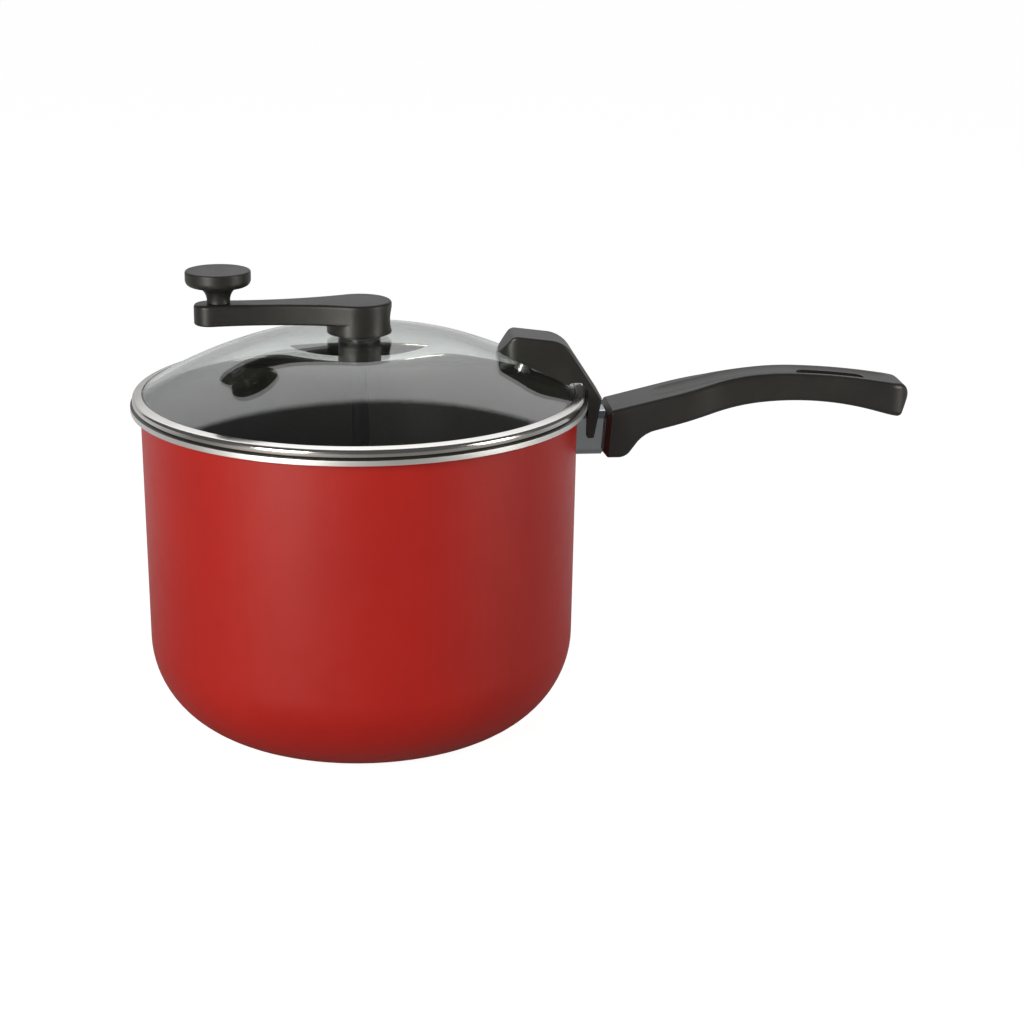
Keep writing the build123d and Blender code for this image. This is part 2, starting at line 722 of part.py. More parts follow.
with BuildPart() as clip_screw:
    with BuildSketch(clip_screw_plane.offset(-clip_head_depth)):
        Circle(clip_screw_diameter / 2)
    extrude(amount=clip_head_depth + clip_pad_thickness + clip_screw_bite)
    with BuildSketch(clip_screw_plane.offset(-clip_head_depth - clip_screw_head)):
        Circle(clip_screw_head_diameter / 2)
    extrude(amount=clip_screw_head)
    with BuildSketch(clip_screw_plane.offset(-clip_head_depth - clip_screw_head)):
        Rectangle(driver_slot_length, driver_slot_width)
        Rectangle(driver_slot_width, driver_slot_length)
    extrude(amount=driver_slot_depth, mode=Mode.SUBTRACT)
clip_screw.part.label = "clip_screw"

# ---------------------------------------------------------------------------------------------
# Crank body
# ---------------------------------------------------------------------------------------------
crank_side = Plane(origin=(0, 0, 0), x_dir=crank_plane.x_dir, z_dir=-crank_plane.y_dir)
grub_height = (boss_bottom + shaft_top) / 2

# Moulded arm: a round boss over the shaft and a smaller round end, joined by waisted sides. Each
# side is one arc that is tangent to both rounds.
tip_radius = arm_tip_width / 2
tip_centre = arm_end_reach - tip_radius
boss_span = boss_radius + arm_side_bend
tip_span = tip_radius + arm_side_bend
waist_reach = (boss_span**2 - tip_span**2 + tip_centre**2) / (2 * tip_centre)
waist_offset = sqrt(boss_span**2 - waist_reach**2)
boss_touch = (boss_radius * waist_reach / boss_span, boss_radius * waist_offset / boss_span)
tip_touch = (
    tip_centre + tip_radius * (waist_reach - tip_centre) / tip_span, tip_radius * waist_offset / tip_span
)
with BuildPart() as crank_arm:
    with BuildSketch(crank_plane.offset(arm_bottom)):
        with BuildLine():
            ThreePointArc((-boss_radius, 0), (0, boss_radius), boss_touch)
            ThreePointArc(boss_touch, (waist_reach, waist_offset - arm_side_bend), tip_touch)
            ThreePointArc(tip_touch, (tip_centre, tip_radius), (arm_end_reach, 0))
            mirror(about=Plane.XZ)
        make_face()
    extrude(amount=arm_thickness)
    fillet(crank_arm.edges().group_by(Axis.Z)[-1], radius=arm_edge_radius)
    fillet(crank_arm.edges().group_by(Axis.Z)[0], radius=arm_low_edge)
    with BuildSketch(crank_plane.offset(boss_bottom)):
        Circle(boss_radius)
    extrude(amount=boss_drop + arm_thickness - arm_edge_radius)
    fillet(crank_arm.edges().group_by(Axis.Z)[0], radius=boss_low_edge)
    scallop_reach = boss_radius + boss_scallop_radius - boss_scallop_depth
    with BuildSketch(crank_side):
        with Locations((-scallop_reach, boss_bottom + boss_scallop_rise)):
            Circle(boss_scallop_radius)
    extrude(amount=boss_diameter, both=True, mode=Mode.SUBTRACT)
    with BuildSketch(crank_plane.offset(boss_bottom)):
        Circle(shaft_radius + fit_gap)
    extrude(amount=shaft_top + fit_gap - boss_bottom, mode=Mode.SUBTRACT)
    with BuildSketch(crank_side):
        with Locations((0, grub_height)):
            Circle(grub_diameter / 2 + fit_gap)
    extrude(amount=boss_diameter, mode=Mode.SUBTRACT)
    with BuildSketch(crank_plane.offset(arm_bottom)):
        with Locations((crank_reach, 0)):
            Circle(knob_screw_diameter / 2 + fit_gap)
    extrude(amount=arm_thickness, mode=Mode.SUBTRACT)
    with BuildSketch(crank_plane.offset(arm_bottom)):
        with Locations((crank_reach, 0)):
            Circle(knob_screw_head_diameter / 2 + knob_recess_gap)
    extrude(amount=knob_recess_depth, mode=Mode.SUBTRACT)
crank_arm.part.label = "crank_arm"

# Set screw through the boss's far side on to the shaft
with BuildPart() as arm_grub:
    with BuildSketch(crank_side.offset(shaft_radius + fit_gap)):
        with Locations((0, grub_height)):
            Circle(grub_diameter / 2)
    extrude(amount=grub_length)
    with BuildSketch(crank_side.offset(shaft_radius + fit_gap + grub_length)):
        with Locations((0, grub_height)):
            RegularPolygon(radius=grub_socket / 2, side_count=6)
    extrude(amount=-grub_socket, mode=Mode.SUBTRACT)
arm_grub.part.label = "arm_grub"

# Steel shaft from the arm through the hub down to the stirrer, with a groove for its clip
with BuildPart() as crank_shaft:
    with BuildSketch(Plane.XY.offset(shaft_bottom)):
        Circle(shaft_radius)
    extrude(amount=shaft_top - shaft_bottom)
    with BuildSketch(Plane.XY.offset(spring_clip_top - retainer_thickness - fit_gap)):
        Circle(shaft_radius)
        Circle(shaft_radius - groove_depth, mode=Mode.SUBTRACT)
    extrude(amount=retainer_thickness + 2 * fit_gap, mode=Mode.SUBTRACT)
crank_shaft.part.label = "crank_shaft"

# Washer and spring clip in the nut's recess: they keep the shaft from lifting out
with BuildPart() as shaft_washer:
    with BuildSketch(Plane.XY.offset(spring_clip_top + fit_gap)):
        Circle(hub_nut_recess_diameter / 2 - shaft_washer_gap)
        Circle(shaft_radius + fit_gap, mode=Mode.SUBTRACT)
    extrude(amount=retainer_thickness)
shaft_washer.part.label = "shaft_washer"

with BuildPart() as shaft_clip:
    with BuildSketch(Plane.XY.offset(spring_clip_top - retainer_thickness)):
        Circle(hub_nut_recess_diameter / 2 - shaft_clip_inset)
        Circle(shaft_radius - groove_depth + fit_gap, mode=Mode.SUBTRACT)
        with Locations((shaft_radius, 0)):
            Rectangle(shaft_diameter, shaft_clip_opening, mode=Mode.SUBTRACT)
    extrude(amount=retainer_thickness)
shaft_clip.part.label = "shaft_clip"

# Hub that carries the two stirring wires, held on the shaft by a set screw
with BuildPart() as stirrer_hub:
    with BuildSketch(Plane.XY.offset(stirrer_hub_bottom)):
        Circle(stirrer_hub_diameter / 2)
    extrude(amount=stirrer_hub_height)
    chamfer(stirrer_hub.edges(), length=stirrer_hub_edge)
    with BuildSketch(Plane.XY.offset(shaft_bottom - fit_gap)):
        Circle(shaft_radius + fit_gap)
    extrude(amount=stirrer_hub_height, mode=Mode.SUBTRACT)
    for side in (1, -1):
        along_wire = Plane(
            origin=stirrer_plane.x_dir * side * (wire_seat - fit_gap),
            x_dir=stirrer_plane.y_dir * side,
            z_dir=stirrer_plane.x_dir * side,
        )
        with BuildSketch(along_wire):
            with Locations((0, wire_height)):
                Circle(wire_radius + fit_gap)
        extrude(amount=stirrer_hub_diameter, mode=Mode.SUBTRACT)
    with BuildSketch(crank_side):
        with Locations((0, stirrer_grub_height)):
            Circle(stirrer_grub_diameter / 2 + fit_gap)
    extrude(amount=stirrer_hub_diameter, mode=Mode.SUBTRACT)
stirrer_hub.part.label = "stirrer_hub"

with BuildPart() as stirrer_grub:
    with BuildSketch(crank_side.offset(shaft_radius + fit_gap)):
        with Locations((0, stirrer_grub_height)):
            Circle(stirrer_grub_diameter / 2)
    extrude(amount=stirrer_grub_length)
    with BuildSketch(crank_side.offset(shaft_radius + fit_gap + stirrer_grub_length)):
        with Locations((0, stirrer_grub_height)):
            RegularPolygon(radius=grub_socket / 2, side_count=6)
    extrude(amount=-grub_socket, mode=Mode.SUBTRACT)
stirrer_grub.part.label = "stirrer_grub"

# Two steel wires sweep the floor and the pot's rounded corner
wires = []
for wire_name, side in (("stirrer_wire_left", 1), ("stirrer_wire_right", -1)):
    wire_side = Plane(
        origin=(0, 0, 0), x_dir=stirrer_plane.x_dir * side, z_dir=-stirrer_plane.y_dir * side
    )
    along_wire = Plane(
        origin=stirrer_plane.x_dir * side * wire_seat,
        x_dir=stirrer_plane.y_dir * side,
        z_dir=stirrer_plane.x_dir * side,
    )
    with BuildPart() as stirrer_wire:
        with BuildLine(wire_side) as wire_path:
            floor_run = Line((wire_seat, wire_height), (corner_centre_radius, wire_height))
            JernArc(start=floor_run @ 1, tangent=(1, 0), radius=wire_bend, arc_size=stirrer_sweep)
        with BuildSketch(along_wire):
            with Locations((0, wire_height)):
                Circle(wire_radius)
        sweep(path=wire_path.line)
        fillet(stirrer_wire.edges().sort_by(Axis.Z)[-1], radius=wire_end_round)
    stirrer_wire.part.label = wire_name
    wires.append(stirrer_wire)

# ---------------------------------------------------------------------------------------------
# Knob body
# ---------------------------------------------------------------------------------------------
knob_radius = knob_diameter / 2
neck_radius = knob_neck_diameter / 2
disc_underside = knob_bottom + knob_height - knob_disc_thickness
knob_top = knob_bottom + knob_height
neck_sweep = degrees(asin((knob_height - knob_disc_thickness - knob_neck_start) / knob_neck_bend))
dish_radius = knob_radius - knob_dish_inset
dish_bend = (dish_radius**2 + knob_dish**2) / (2 * knob_dish)
dish_sweep = degrees(asin(dish_radius / dish_bend))
washer_roof = arm_bottom + knob_recess_depth - rest_gap
screw_shoulder = washer_roof - knob_washer_thickness

# Moulded knob: a disc on a waisted neck
with BuildPart() as knob:
    with BuildSketch(knob_plane):
        with BuildLine():
            foot = Line((neck_radius, knob_bottom), (neck_radius, knob_bottom + knob_neck_start))
            neck = JernArc(start=foot @ 1, tangent=(0, 1), radius=knob_neck_bend, arc_size=-neck_sweep)
            dish_middle = (0, knob_top - knob_dish)
            dish = JernArc(start=dish_middle, tangent=(1, 0), radius=dish_bend, arc_size=dish_sweep)
            FilletPolyline(
                neck @ 1,
                (knob_radius, disc_underside),
                (knob_radius, knob_top),
                dish @ 1,
                radius=[knob_low_edge, knob_top_edge],
            )
            Polyline(dish @ 0, (0, knob_bottom), foot @ 0)
        make_face()
    revolve(axis=knob_axis)
    with BuildSketch(knob_plane):
        with Locations((0, knob_bottom + knob_screw_depth / 2)):
            Rectangle(knob_screw_diameter + 2 * fit_gap, knob_screw_depth)
        split(bisect_by=Plane.YZ, keep=Keep.TOP)
    revolve(axis=knob_axis, mode=Mode.SUBTRACT)
knob.part.label = "knob"

# Shouldered screw from the arm's underside into the knob, which turns with it
with BuildPart() as knob_screw:
    with BuildSketch(Plane(origin=(knob_x, knob_y, screw_shoulder - knob_screw_head))):
        Circle(knob_screw_head_diameter / 2)
    extrude(amount=knob_screw_head)
    with BuildSketch(Plane(origin=(knob_x, knob_y, screw_shoulder))):
        Circle(knob_screw_diameter / 2)
    extrude(amount=knob_bottom + knob_screw_depth - fit_gap - screw_shoulder)
    with BuildSketch(Plane(origin=(knob_x, knob_y, screw_shoulder - knob_screw_head))):
        Rectangle(driver_slot_length, driver_slot_width)
        Rectangle(driver_slot_width, driver_slot_length)
    extrude(amount=driver_slot_depth, mode=Mode.SUBTRACT)
knob_screw.part.label = "knob_screw"

with BuildPart() as knob_washer:
    with BuildSketch(Plane(origin=(knob_x, knob_y, screw_shoulder))):
        Circle(knob_screw_head_diameter / 2)
        Circle(knob_screw_diameter / 2 + fit_gap, mode=Mode.SUBTRACT)
    extrude(amount=knob_washer_thickness)
knob_washer.part.label = "knob_washer"

# ---------------------------------------------------------------------------------------------
# One file for each piece
# ---------------------------------------------------------------------------------------------
pot_pieces = [pot_shell, handle_stud, flame_guard, handle_grip, handle_washer, handle_screw]
lid_pieces = [lid_glass, lid_band, *gaskets, hub_bush, hub_nut, lid_clip, clip_pad, clip_washer, clip_screw]
crank_pieces = [crank_arm, arm_grub, crank_shaft, shaft_washer, shaft_clip]
stirrer_pieces = [stirrer_hub, stirrer_grub, *wires]
knob_pieces = [knob, knob_screw, knob_washer]
for piece in pot_pieces + lid_pieces + crank_pieces + stirrer_pieces + knob_pieces:
    export_step(piece.part, f"parts/{piece.part.label}.step")
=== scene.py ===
from math import asin, cos, pi, radians, sin, tan

import bmesh
import bpy
from mathutils import Matrix, Vector


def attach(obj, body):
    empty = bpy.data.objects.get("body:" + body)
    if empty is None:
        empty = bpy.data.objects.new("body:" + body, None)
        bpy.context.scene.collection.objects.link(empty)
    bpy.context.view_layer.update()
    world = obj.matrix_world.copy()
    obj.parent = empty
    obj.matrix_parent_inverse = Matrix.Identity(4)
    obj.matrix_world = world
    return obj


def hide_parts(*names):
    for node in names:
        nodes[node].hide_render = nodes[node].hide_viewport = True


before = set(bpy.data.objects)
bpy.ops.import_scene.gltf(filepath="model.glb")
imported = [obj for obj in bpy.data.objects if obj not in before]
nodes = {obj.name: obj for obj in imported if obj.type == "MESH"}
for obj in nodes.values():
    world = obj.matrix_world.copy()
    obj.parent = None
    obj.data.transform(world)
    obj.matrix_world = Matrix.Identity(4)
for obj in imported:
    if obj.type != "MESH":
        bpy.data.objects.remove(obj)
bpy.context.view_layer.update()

scene = bpy.context.scene

# =============================================================================================
# Pot body
# A deep pot pressed from aluminium sheet, with its rim rolled out. Red enamel is baked on outside
# and a dark non-stick lining inside. The rim's edge and the base are turned back to bare metal.
# =============================================================================================
mouth_radius = 0.100
pot_wall = 0.0018
wall_radius = mouth_radius + pot_wall
wall_draft = 0.0016
base_corner = 0.0445
rim_underside = 0.1544
rim_edge = 0.0027
rim_crown = 0.0041
rim_crown_width = 0.0034
rim_radius = 0.10639
rim_turn = 0.0016            # where the wall turns out into the rim
rim_edge_round = 0.00025
rim_slope_round = 0.0030
rim_mouth_round = 0.0026
turned_base = 0.052          # radius of the bare disc under the pot
turned_depth = 0.00015
turned_step = 0.0003         # width of the step at the disc's edge
pot_turns = 288              # faces round the pot
hair = 1e-5                  # closer than this counts as touching


def start_finish(name):
    """A new finish, its node tree and its shader."""
    finish = bpy.data.materials.new(name)
    finish.use_nodes = True
    return finish, finish.node_tree, finish.node_tree.nodes["Principled BSDF"]


def add_node(tree, kind, settings=None, **values):
    """A node with its settings, and its inputs by name: a plain value, or another node's output."""
    node = tree.nodes.new(kind)
    for key, value in (settings or {}).items():
        setattr(node, key, value)
    for key, value in values.items():
        socket = node.inputs[key.replace("_", " ")] if isinstance(key, str) else node.inputs[key]
        if isinstance(value, bpy.types.NodeSocket):
            tree.links.new(value, socket)
        else:
            socket.default_value = value
    return node


def place(tree, stretch=(1, 1, 1)):
    """Where a point is on the object, in metres, stretched along the axes."""
    here = tree.nodes.new("ShaderNodeTexCoord").outputs["Object"]
    return add_node(tree, "ShaderNodeMapping", Vector=here, Scale=stretch).outputs["Vector"]


def grain(tree, vector, scale, detail=3.0, rough=0.55):
    """Soft noise from 0 to 1. The scale is about one over the size of a blotch, in metres."""
    node = add_node(
        tree,
        "ShaderNodeTexNoise",
        Vector=vector,
        Scale=scale,
        Detail=detail,
        Roughness=rough,
    )
    return node.outputs["Fac"]


def span(tree, value, low, high, start=0.3, end=0.7):
    """The value's run from start to end, moved to run from low to high."""
    node = add_node(tree, "ShaderNodeMapRange", Value=value)
    node.inputs["From Min"].default_value = start
    node.inputs["From Max"].default_value = end
    node.inputs["To Min"].default_value = low
    node.inputs["To Max"].default_value = high
    return node.outputs["Result"]


def tones(tree, value, *stops):
    """A colour ramp: each stop is a place from 0 to 1 and a linear colour."""
    node = add_node(tree, "ShaderNodeValToRGB", Fac=value)
    ramp = node.color_ramp.elements
    while len(ramp) < len(stops):
        ramp.new(0.5)
    for element, (position, colour) in zip(ramp, stops):
        element.position = position
        element.color = (*colour, 1)
    return node.outputs["Color"]


def blend_colour(tree, amount, first, second, how="MIX"):
    """Two colours mixed by an amount from 0 to 1."""
    node = tree.nodes.new("ShaderNodeMix")
    node.data_type = "RGBA"
    node.blend_type = how
    for socket, value in ((node.inputs[0], amount), (node.inputs[6], first), (node.inputs[7], second)):
        if isinstance(value, bpy.types.NodeSocket):
            tree.links.new(value, socket)
        else:
            socket.default_value = value if isinstance(value, float) else (*value, 1)
    return node.outputs[2]


def relief(tree, shader, *layers):
    """Fine relief: each layer is a height from 0 to 1 and its depth in metres."""
    normal = None
    for height, depth in layers:
        node = add_node(tree, "ShaderNodeBump", Height=height, Distance=depth)
        if normal is not None:
            tree.links.new(normal, node.inputs["Normal"])
        normal = node.outputs["Normal"]
    tree.links.new(normal, shader.inputs["Normal"])


def calc(tree, how, *values):
    """One step of arithmetic."""
    node = tree.nodes.new("ShaderNodeMath")
    node.operation = how
    for socket, value in zip(node.inputs, values):
        if isinstance(value, bpy.types.NodeSocket):
            tree.links.new(value, socket)
        else:
            socket.default_value = value
    return node.outputs["Value"]


def lathe_marks(tree, centre=(0, 0), fine=9000.0, drift=30.0):
    """A vector that changes fast across a turned surface and slowly round it."""
    here = add_node(tree, "ShaderNodeMapping", Vector=place(tree), Location=(-centre[0], -centre[1], 0))
    axes = add_node(tree, "ShaderNodeSeparateXYZ", Vector=here.outputs["Vector"])
    square = calc(
        tree,
        "ADD",
        calc(tree, "MULTIPLY", axes.outputs["X"], axes.outputs["X"]),
        calc(tree, "MULTIPLY", axes.outputs["Y"], axes.outputs["Y"]),
    )
    join = tree.nodes.new("ShaderNodeCombineXYZ")
    tree.links.new(calc(tree, "MULTIPLY", calc(tree, "SQRT", square), fine), join.inputs["X"])
    tree.links.new(calc(tree, "MULTIPLY", axes.outputs["Z"], fine), join.inputs["Y"])
    side = calc(tree, "ADD", axes.outputs["X"], calc(tree, "MULTIPLY", axes.outputs["Y"], 0.7))
    tree.links.new(calc(tree, "MULTIPLY", side, drift), join.inputs["Z"])
    return join.outputs["Vector"]


def rounded(corners, bends, fine=radians(4)):
    """A line through the corners with each one rounded, as points."""
    points = [Vector(corners[0])]
    for before, corner, after, bend in zip(corners, corners[1:-1], corners[2:], bends):
        corner = Vector(corner)
        back = (Vector(before) - corner).normalized()
        ahead = (Vector(after) - corner).normalized()
        half = back.angle(ahead) / 2
        reach = bend / tan(half)
        centre = corner + (back + ahead).normalized() * bend / sin(half)
        start = corner + back * reach - centre
        sweep = start.angle_signed(corner + ahead * reach - centre)
        steps = max(2, round(abs(sweep) / fine))
        for step in range(steps + 1):
            turn = Matrix.Rotation(-sweep * step / steps, 2)
            points.append(centre + turn @ start)
    points.append(Vector(corners[-1]))
    return points


def lathe(name, runs, turns):
    """A turned mesh from runs of (radius, height) points; each run's faces take its own finish."""
    mesh = bpy.data.meshes.new(name)
    shape = bmesh.new()
    for number, (points, finish) in enumerate(runs):
        mesh.materials.append(finish)
        rings = []
        for radius, height in points:
            if radius < 1e-6:
                rings.append([shape.verts.new((0, 0, height))])
                continue
            angles = [2 * pi * turn / turns for turn in range(turns)]
            rings.append([shape.verts.new((radius * cos(a), radius * sin(a), height)) for a in angles])
        for low, high in zip(rings, rings[1:]):
            for turn in range(turns):
                after = (turn + 1) % turns
                corners = [low[turn % len(low)], low[after % len(low)]]
                corners += [high[after % len(high)], high[turn % len(high)]]
                face = shape.faces.new(list(dict.fromkeys(corners)))
                face.material_index = number
                face.smooth = True
    bmesh.ops.remove_doubles(shape, verts=shape.verts, dist=1e-7)
    bmesh.ops.recalc_face_normals(shape, faces=shape.faces)
    shape.to_mesh(mesh)
    shape.free()
    piece = bpy.data.objects.new(name, mesh)
    scene.collection.objects.link(piece)
    return piece


# Red enamel: satin, faintly mottled, with an orange-peel skin and a few dry scuffs near the base
red_enamel, tree, shader = start_finish("red_enamel")
cloud = grain(tree, place(tree), 22.0, 4.0)
enamel = tones(tree, cloud, (0.30, (0.385, 0.0085, 0.0050)), (0.70, (0.420, 0.0105, 0.0062)))
scuffs = grain(tree, place(tree, (1, 1, 7)), 260.0, 5.0, 0.7)
height = add_node(tree, "ShaderNodeSeparateXYZ", Vector=place(tree)).outputs["Z"]
low_down = span(tree, height, 1.0, 0.0, 0.004, 0.022)
scuffed = calc(tree, "MULTIPLY", span(tree, scuffs, 0.0, 0.35, 0.60, 0.74), low_down)
enamel = blend_colour(tree, scuffed, enamel, (0.46, 0.060, 0.045))
tree.links.new(enamel, shader.inputs["Base Color"])
satin = span(tree, grain(tree, place(tree), 90.0, 3.0), 0.40, 0.45)
satin = calc(tree, "ADD", satin, calc(tree, "MULTIPLY", scuffed, 0.3))
tree.links.new(satin, shader.inputs["Roughness"])
shader.inputs["Specular IOR Level"].default_value = 0.5
relief(
    tree,
    shader,
    (grain(tree, place(tree), 850.0, 2.0), 0.000010),
    (grain(tree, place(tree), 3800.0, 2.0), 0.000002),
)

# Bare aluminium: rim's edge and base, bright with fine lathe marks
bare_aluminium, tree, shader = start_finish("bare_aluminium")
marks = grain(tree, lathe_marks(tree), 1.0, 3.0, 0.6)
metal = tones(tree, marks, (0.25, (0.82, 0.84, 0.85)), (0.75, (0.94, 0.95, 0.96)))
tree.links.new(metal, shader.inputs["Base Color"])
shader.inputs["Metallic"].default_value = 1.0
tree.links.new(span(tree, marks, 0.38, 0.50), shader.inputs["Roughness"])
relief(tree, shader, (marks, 0.000012), (grain(tree, place(tree), 120.0), 0.000020))

# Non-stick lining: near black, slightly mottled, with a fine pebbled skin
nonstick, tree, shader = start_finish("nonstick_lining")
speck = grain(tree, place(tree), 1500.0, 4.0, 0.7)
black = tones(
    tree,
    speck,
    (0.35, (0.020, 0.0195, 0.017)),
    (0.62, (0.031, 0.030, 0.026)),
    (0.8, (0.06, 0.06, 0.054)),
)
tree.links.new(black, shader.inputs["Base Color"])
tree.links.new(span(tree, grain(tree, place(tree), 60.0), 0.30, 0.42), shader.inputs["Roughness"])
relief(tree, shader, (speck, 0.000008), (grain(tree, lathe_marks(tree, fine=2500.0), 1.0), 0.000010))

outline = rounded(
    [
        (turned_base, 0),
        (wall_radius - wall_draft, 0),
        (wall_radius, rim_underside + rim_turn),
        (rim_radius, rim_underside),
        (rim_radius, rim_underside + rim_edge),
        (mouth_radius + rim_crown_width, rim_underside + rim_crown),
        (mouth_radius, rim_underside + rim_crown),
        (mouth_radius - wall_draft, pot_wall),
        (0, pot_wall),
    ],
    [
        base_corner,
        rim_turn,
        rim_edge_round,
        rim_edge_round,
        rim_slope_round,
        rim_mouth_round,
        base_corner - pot_wall,
    ],
)
on_rim_edge = [number for number, spot in enumerate(outline) if spot.x > rim_radius - hair]
low_edge = on_rim_edge[0]
top_edge = on_rim_edge[-1]
base_run = [
    Vector((0, turned_depth)),
    Vector((turned_base - turned_step, turned_depth)),
    Vector((turned_base, 0)),
]
pot = lathe(
    "pot_body",
    [
        (base_run, bare_aluminium),
        (outline[: low_edge + 1], red_enamel),
        (outline[low_edge : top_edge + 1], bare_aluminium),
        (outline[top_edge:], nonstick),
    ],
    pot_turns,
)
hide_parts("pot_shell")
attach(pot, "pot")

# Turned rings on the bare base: the ridges that a lathe tool leaves, each down to the floor
rings_tree = bpy.data.node_groups.new("turned_rings", "GeometryNodeTree")
ring_inputs = {}
for label, kind, value in (
    ("First Radius", "NodeSocketFloat", 0.006),
    ("Spacing", "NodeSocketFloat", 0.0015),
    ("Count", "NodeSocketInt", 30),
    ("Ridge Radius", "NodeSocketFloat", 0.0004),
):
    socket = rings_tree.interface.new_socket(label, in_out="INPUT", socket_type=kind)
    socket.default_value = value
    ring_inputs[label] = (socket.identifier, value)
rings_tree.interface.new_socket("Mesh", in_out="OUTPUT", socket_type="NodeSocketGeometry")
given = rings_tree.nodes.new("NodeGroupInput")
wire = rings_tree.links.new
line = add_node(rings_tree, "GeometryNodeMeshLine")
wire(given.outputs["Count"], line.inputs["Count"])
step = add_node(rings_tree, "ShaderNodeCombineXYZ", Z=0.0)
wire(step.outputs["Vector"], line.inputs["Offset"])
number = add_node(rings_tree, "GeometryNodeInputIndex").outputs["Index"]
grow = add_node(rings_tree, "ShaderNodeMath", {"operation": "MULTIPLY_ADD"})
wire(number, grow.inputs[0])
wire(given.outputs["Spacing"], grow.inputs[1])
wire(given.outputs["First Radius"], grow.inputs[2])
ring = add_node(rings_tree, "GeometryNodeCurvePrimitiveCircle", Resolution=160, Radius=1.0)
ridge = add_node(rings_tree, "GeometryNodeInstanceOnPoints")
wire(line.outputs["Mesh"], ridge.inputs["Points"])
wire(ring.outputs["Curve"], ridge.inputs["Instance"])
wire(grow.outputs["Value"], ridge.inputs["Scale"])
loose = add_node(rings_tree, "GeometryNodeRealizeInstances")
wire(ridge.outputs["Instances"], loose.inputs["Geometry"])
tool_mark = add_node(rings_tree, "GeometryNodeCurvePrimitiveCircle", Resolution=6)
wire(given.outputs["Ridge Radius"], tool_mark.inputs["Radius"])
sweep = add_node(rings_tree, "GeometryNodeCurveToMesh")
wire(loose.outputs["Geometry"], sweep.inputs["Curve"])
wire(tool_mark.outputs["Curve"], sweep.inputs["Profile Curve"])
smooth = add_node(rings_tree, "GeometryNodeSetShadeSmooth")
wire(sweep.outputs["Mesh"], smooth.inputs["Geometry"])
finished = add_node(rings_tree, "GeometryNodeSetMaterial", Material=bare_aluminium)
wire(smooth.outputs["Geometry"], finished.inputs["Geometry"])
made = rings_tree.nodes.new("NodeGroupOutput")
wire(finished.outputs["Geometry"], made.inputs["Mesh"])


def grow_mesh(name, tree, inputs):
    """Runs a geometry node tree once and keeps its result as a plain mesh."""
    seed = bpy.data.objects.new(name + "_seed", bpy.data.meshes.new(name + "_seed"))
    scene.collection.objects.link(seed)
    modifier = seed.modifiers.new("make", "NODES")
    modifier.node_group = tree
    for identifier, value in inputs.values():
        modifier[identifier] = value
    ready = seed.evaluated_get(bpy.context.evaluated_depsgraph_get())
    mesh = bpy.data.meshes.new_from_object(ready)
    bpy.data.objects.remove(seed)
    piece = bpy.data.objects.new(name, mesh)
    scene.collection.objects.link(piece)
    return piece


base_rings = grow_mesh("base_rings", rings_tree, ring_inputs)
lift = ring_inputs["Ridge Radius"][1]
base_rings.data.transform(Matrix.Translation((0, 0, lift)))
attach(base_rings, "pot")

# =============================================================================================
# Handle stud, flame guard, washer and screw
# An aluminium stud is welded to the wall. A polished steel tube round it keeps the flame off the
# grip, and one long screw from behind the grip's knuckle pulls grip and guard against the stud.
# =============================================================================================
cast_aluminium, tree, shader = start_finish("stud_aluminium")
skin = grain(tree, place(tree), 900.0, 4.0)
metal = tones(tree, skin, (0.3, (0.50, 0.50, 0.50)), (0.7, (0.66, 0.66, 0.65)))
tree.links.new(metal, shader.inputs["Base Color"])
shader.inputs["Metallic"].default_value = 1.0
tree.links.new(span(tree, skin, 0.38, 0.52), shader.inputs["Roughness"])
relief(tree, shader, (skin, 0.00003))


def rolled_steel(name, dull, bright, polish):
    """Polished sheet steel: hairlines round the piece and faint smears, between two colours."""
    finish, tree, shader = start_finish(name)
    hairlines = grain(tree, lathe_marks(tree, fine=7000.0, drift=60.0), 1.0, 2.0, 0.5)
    smears = grain(tree, place(tree), 45.0, 4.0, 0.6)
    metal = tones(tree, smears, (0.3, dull), (0.7, bright))
    tree.links.new(metal, shader.inputs["Base Color"])
    shader.inputs["Metallic"].default_value = 1.0
    smeared = span(tree, smears, polish, polish + 0.05)
    gloss = calc(tree, "ADD", smeared, span(tree, hairlines, 0.0, 0.05))
    tree.links.new(gloss, shader.inputs["Roughness"])
    relief(tree, shader, (hairlines, 0.0000015))
    return finish


guard_steel = rolled_steel("guard_steel", (0.42, 0.46, 0.50), (0.50, 0.54, 0.58), 0.05)

zinc_steel, tree, shader = start_finish("zinc_plated_steel")
frost = grain(tree, place(tree), 1100.0, 3.0)
metal = tones(tree, frost, (0.3, (0.52, 0.52, 0.53)), (0.7, (0.66, 0.66, 0.66)))
tree.links.new(metal, shader.inputs["Base Color"])
shader.inputs["Metallic"].default_value = 1.0
tree.links.new(span(tree, frost, 0.24, 0.36), shader.inputs["Roughness"])
relief(tree, shader, (frost, 0.000015))


def dress(finish, *names):
    """Gives a finish to pieces of the frame."""
    for name in names:
        nodes[name].data.materials[0] = finish


dress(cast_aluminium, "handle_stud")
dress(guard_steel, "flame_guard")
dress(zinc_steel, "handle_washer", "handle_screw")

